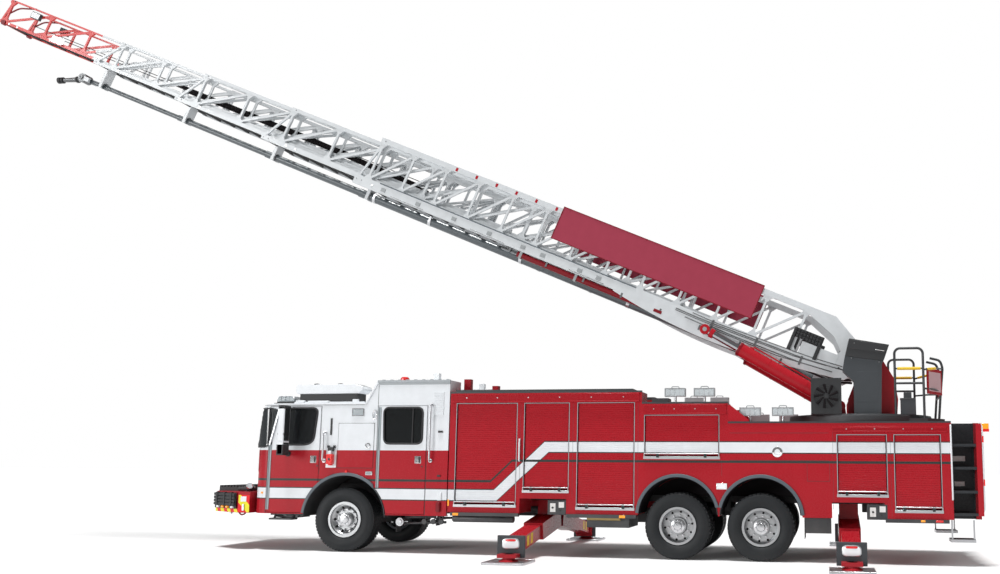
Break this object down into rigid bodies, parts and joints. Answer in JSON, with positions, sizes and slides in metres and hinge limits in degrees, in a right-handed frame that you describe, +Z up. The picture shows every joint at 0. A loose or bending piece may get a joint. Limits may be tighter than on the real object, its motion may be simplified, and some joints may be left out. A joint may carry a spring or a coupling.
{
  "type": "fire engine",
  "caption": "Rear-mount aerial ladder fire engine with a crew cab, roll-up lockers, outriggers and a telescoping ladder on a turntable.",
  "frame": {"origin": "on the ground, at the middle of the standing machine's length and width", "axes": "+Z up, -X towards the truck's front and the ladder's tip, -Y towards the truck's left side"},
  "size_m": [19.3294, 5.4, 11.0696],
  "materials": {
    "tyre": "matt",
    "polished_metal": "polished",
    "red_paint": "gloss",
    "dark_steel": "satin",
    "cast_metal": "rough",
    "shutter_metal": "satin",
    "outrigger_metal": "satin",
    "ladder_metal": "satin",
    "white_paint": "gloss",
    "clear_glass": "clear",
    "interior_plastic": "textured",
    "grey_paint": "satin",
    "lamp_plastic": "gloss",
    "rod_chrome": "polished",
    "brass_fitting": "satin"
  },
  "bodies": {
    "truck": {"body_trim": "shutter_metal", "cab_interior": "interior_plastic", "cab_shell": "red_paint", "engine_block": "cast_metal", "flood_lamps": "lamp_plastic", "frame_rails": "dark_steel", "front_axle": "dark_steel", "front_body": "red_paint", "front_bumper": "red_paint", "grille": "shutter_metal", "lamps": "lamp_plastic", "outrigger_sleeves": "red_paint", "rear_axles": "dark_steel", "rear_body": "red_paint", "rear_steps": "shutter_metal", "roll_shutters": "shutter_metal", "roof_gear": "white_paint", "turntable_ring": "dark_steel", "underbody": "dark_steel", "wheel_arches": "dark_steel", "windscreen": "clear_glass"},
    "steer_left": {"knuckle_left": "dark_steel"},
    "steer_right": {"knuckle_right": "dark_steel"},
    "front_wheel_left": {"front_tyre_left": "tyre", "front_rim_left": "polished_metal"},
    "front_wheel_right": {"front_tyre_right": "tyre", "front_rim_right": "polished_metal"},
    "rear_wheels_1_left": {"twin_tyres_1_left": "tyre", "twin_rims_1_left": "polished_metal"},
    "rear_wheels_1_right": {"twin_tyres_1_right": "tyre", "twin_rims_1_right": "polished_metal"},
    "rear_wheels_2_left": {"twin_tyres_2_left": "tyre", "twin_rims_2_left": "polished_metal"},
    "rear_wheels_2_right": {"twin_tyres_2_right": "tyre", "twin_rims_2_right": "polished_metal"},
    "cab_door_front_left": {"door_front_left": "red_paint", "glass_front_left": "clear_glass"},
    "cab_door_front_right": {"door_front_right": "red_paint", "glass_front_right": "clear_glass"},
    "cab_door_rear_left": {"door_rear_left": "red_paint", "glass_rear_left": "clear_glass"},
    "cab_door_rear_right": {"door_rear_right": "red_paint", "glass_rear_right": "clear_glass"},
    "leg_front_left": {"outrigger_front_left": "outrigger_metal"},
    "leg_front_right": {"outrigger_front_right": "outrigger_metal"},
    "leg_rear_left": {"outrigger_rear_left": "outrigger_metal"},
    "leg_rear_right": {"outrigger_rear_right": "outrigger_metal"},
    "turntable": {"turntable_deck": "red_paint", "turntable_console": "grey_paint", "turntable_rails": "dark_steel"},
    "ladder_1": {"ladder_base": "ladder_metal", "sign_panels": "white_paint"},
    "ladder_2": {"ladder_second": "ladder_metal"},
    "ladder_3": {"ladder_third": "ladder_metal"},
    "ladder_4": {"ladder_fourth": "ladder_metal"},
    "ladder_5": {"ladder_fly": "ladder_metal"},
    "water_monitor": {"monitor": "brass_fitting"},
    "cylinder_barrels": {"lift_barrels": "dark_steel"},
    "cylinder_rods": {"lift_rods": "rod_chrome"}
  },
  "joints": [
    {"name": "steer_left", "type": "hinge", "parent": "truck", "child": "steer_left", "pos_m": [-0.89, -0.88, 0.535], "axis": [0, 0, 1], "range_deg": [-36, 36]},
    {"name": "spin_front_left", "type": "hinge", "parent": "steer_left", "child": "front_wheel_left", "pos_m": [-0.89, -1.0575, 0.538], "axis": [0, 1, 0], "continuous": true},
    {"name": "steer_right", "type": "hinge", "parent": "truck", "child": "steer_right", "pos_m": [-0.89, 0.88, 0.535], "axis": [0, 0, 1], "range_deg": [-36, 36]},
    {"name": "spin_front_right", "type": "hinge", "parent": "steer_right", "child": "front_wheel_right", "pos_m": [-0.89, 1.0575, 0.538], "axis": [0, 1, 0], "continuous": true},
    {"name": "spin_rear_1_left", "type": "hinge", "parent": "truck", "child": "rear_wheels_1_left", "pos_m": [4.849, -0.9405, 0.527], "axis": [0, 1, 0], "continuous": true},
    {"name": "spin_rear_1_right", "type": "hinge", "parent": "truck", "child": "rear_wheels_1_right", "pos_m": [4.849, 0.9405, 0.527], "axis": [0, 1, 0], "continuous": true},
    {"name": "spin_rear_2_left", "type": "hinge", "parent": "truck", "child": "rear_wheels_2_left", "pos_m": [6.17, -0.9405, 0.527], "axis": [0, 1, 0], "continuous": true},
    {"name": "spin_rear_2_right", "type": "hinge", "parent": "truck", "child": "rear_wheels_2_right", "pos_m": [6.17, 0.9405, 0.527], "axis": [0, 1, 0], "continuous": true},
    {"name": "open_front_door_left", "type": "hinge", "parent": "truck", "child": "cab_door_front_left", "pos_m": [-2.336, -1.264, 1.5], "axis": [0, 0, -1], "range_deg": [0, 75]},
    {"name": "open_front_door_right", "type": "hinge", "parent": "truck", "child": "cab_door_front_right", "pos_m": [-2.336, 1.264, 1.5], "axis": [0, 0, 1], "range_deg": [0, 75]},
    {"name": "open_rear_door_left", "type": "hinge", "parent": "truck", "child": "cab_door_rear_left", "pos_m": [-0.316, -1.264, 1.5], "axis": [0, 0, -1], "range_deg": [0, 75]},
    {"name": "open_rear_door_right", "type": "hinge", "parent": "truck", "child": "cab_door_rear_right", "pos_m": [-0.316, 1.264, 1.5], "axis": [0, 0, 1], "range_deg": [0, 75]},
    {"name": "slide_leg_front_left", "type": "slide", "parent": "truck", "child": "leg_front_left", "axis": [0, -0.99, -0.1409], "range_m": [-0.94, 0]},
    {"name": "slide_leg_front_right", "type": "slide", "parent": "truck", "child": "leg_front_right", "axis": [0, 0.99, -0.1409], "range_m": [-0.94, 0]},
    {"name": "slide_leg_rear_left", "type": "slide", "parent": "truck", "child": "leg_rear_left", "axis": [0, -0.99, -0.1409], "range_m": [-0.94, 0]},
    {"name": "slide_leg_rear_right", "type": "slide", "parent": "truck", "child": "leg_rear_right", "axis": [0, 0.99, -0.1409], "range_m": [-0.94, 0]},
    {"name": "turn_table", "type": "hinge", "parent": "truck", "child": "turntable", "pos_m": [7.76, 0, 2.195], "axis": [0, 0, 1], "continuous": true},
    {"name": "raise_ladder", "type": "hinge", "parent": "turntable", "child": "ladder_1", "pos_m": [7.87, 0, 3.25], "axis": [0, 1, 0], "range_deg": [-23.4, 51.6]},
    {"name": "extend_2", "type": "slide", "parent": "ladder_1", "child": "ladder_2", "axis": [-0.9178, 0, 0.3971], "range_m": [-1.9, 5.4]},
    {"name": "extend_3", "type": "slide", "parent": "ladder_2", "child": "ladder_3", "axis": [-0.9178, 0, 0.3971], "range_m": [-1.9, 5.4]},
    {"name": "extend_4", "type": "slide", "parent": "ladder_3", "child": "ladder_4", "axis": [-0.9178, 0, 0.3971], "range_m": [-1.9, 5.4]},
    {"name": "extend_5", "type": "slide", "parent": "ladder_4", "child": "ladder_5", "axis": [-0.9178, 0, 0.3971], "range_m": [-1.9, 5.4]},
    {"name": "tilt_monitor", "type": "hinge", "parent": "ladder_4", "child": "water_monitor", "pos_m": [-7.77615, 0, 9.34513], "axis": [0, 1, 0], "range_deg": [-50, 35]},
    {"name": "pitch_cylinders", "type": "hinge", "parent": "turntable", "child": "cylinder_barrels", "pos_m": [7.43, 0, 2.45], "axis": [0, 1, 0], "range_deg": [-22, 48.4]},
    {"name": "stroke_cylinders", "type": "slide", "parent": "cylinder_barrels", "child": "cylinder_rods", "axis": [-0.8609, 0, 0.5088], "range_m": [-0.36, 0.79]}
  ],
  "couplings": [
    {"joint": "steer_right", "follows": "steer_left", "ratio": 1},
    {"joint": "extend_3", "follows": "extend_2", "ratio": 1},
    {"joint": "extend_4", "follows": "extend_2", "ratio": 1},
    {"joint": "extend_5", "follows": "extend_2", "ratio": 1},
    {"joint": "pitch_cylinders", "follows": "raise_ladder", "ratio": 0.93},
    {"joint": "stroke_cylinders", "follows": "raise_ladder", "m_per_rad": 0.87}
  ]
}
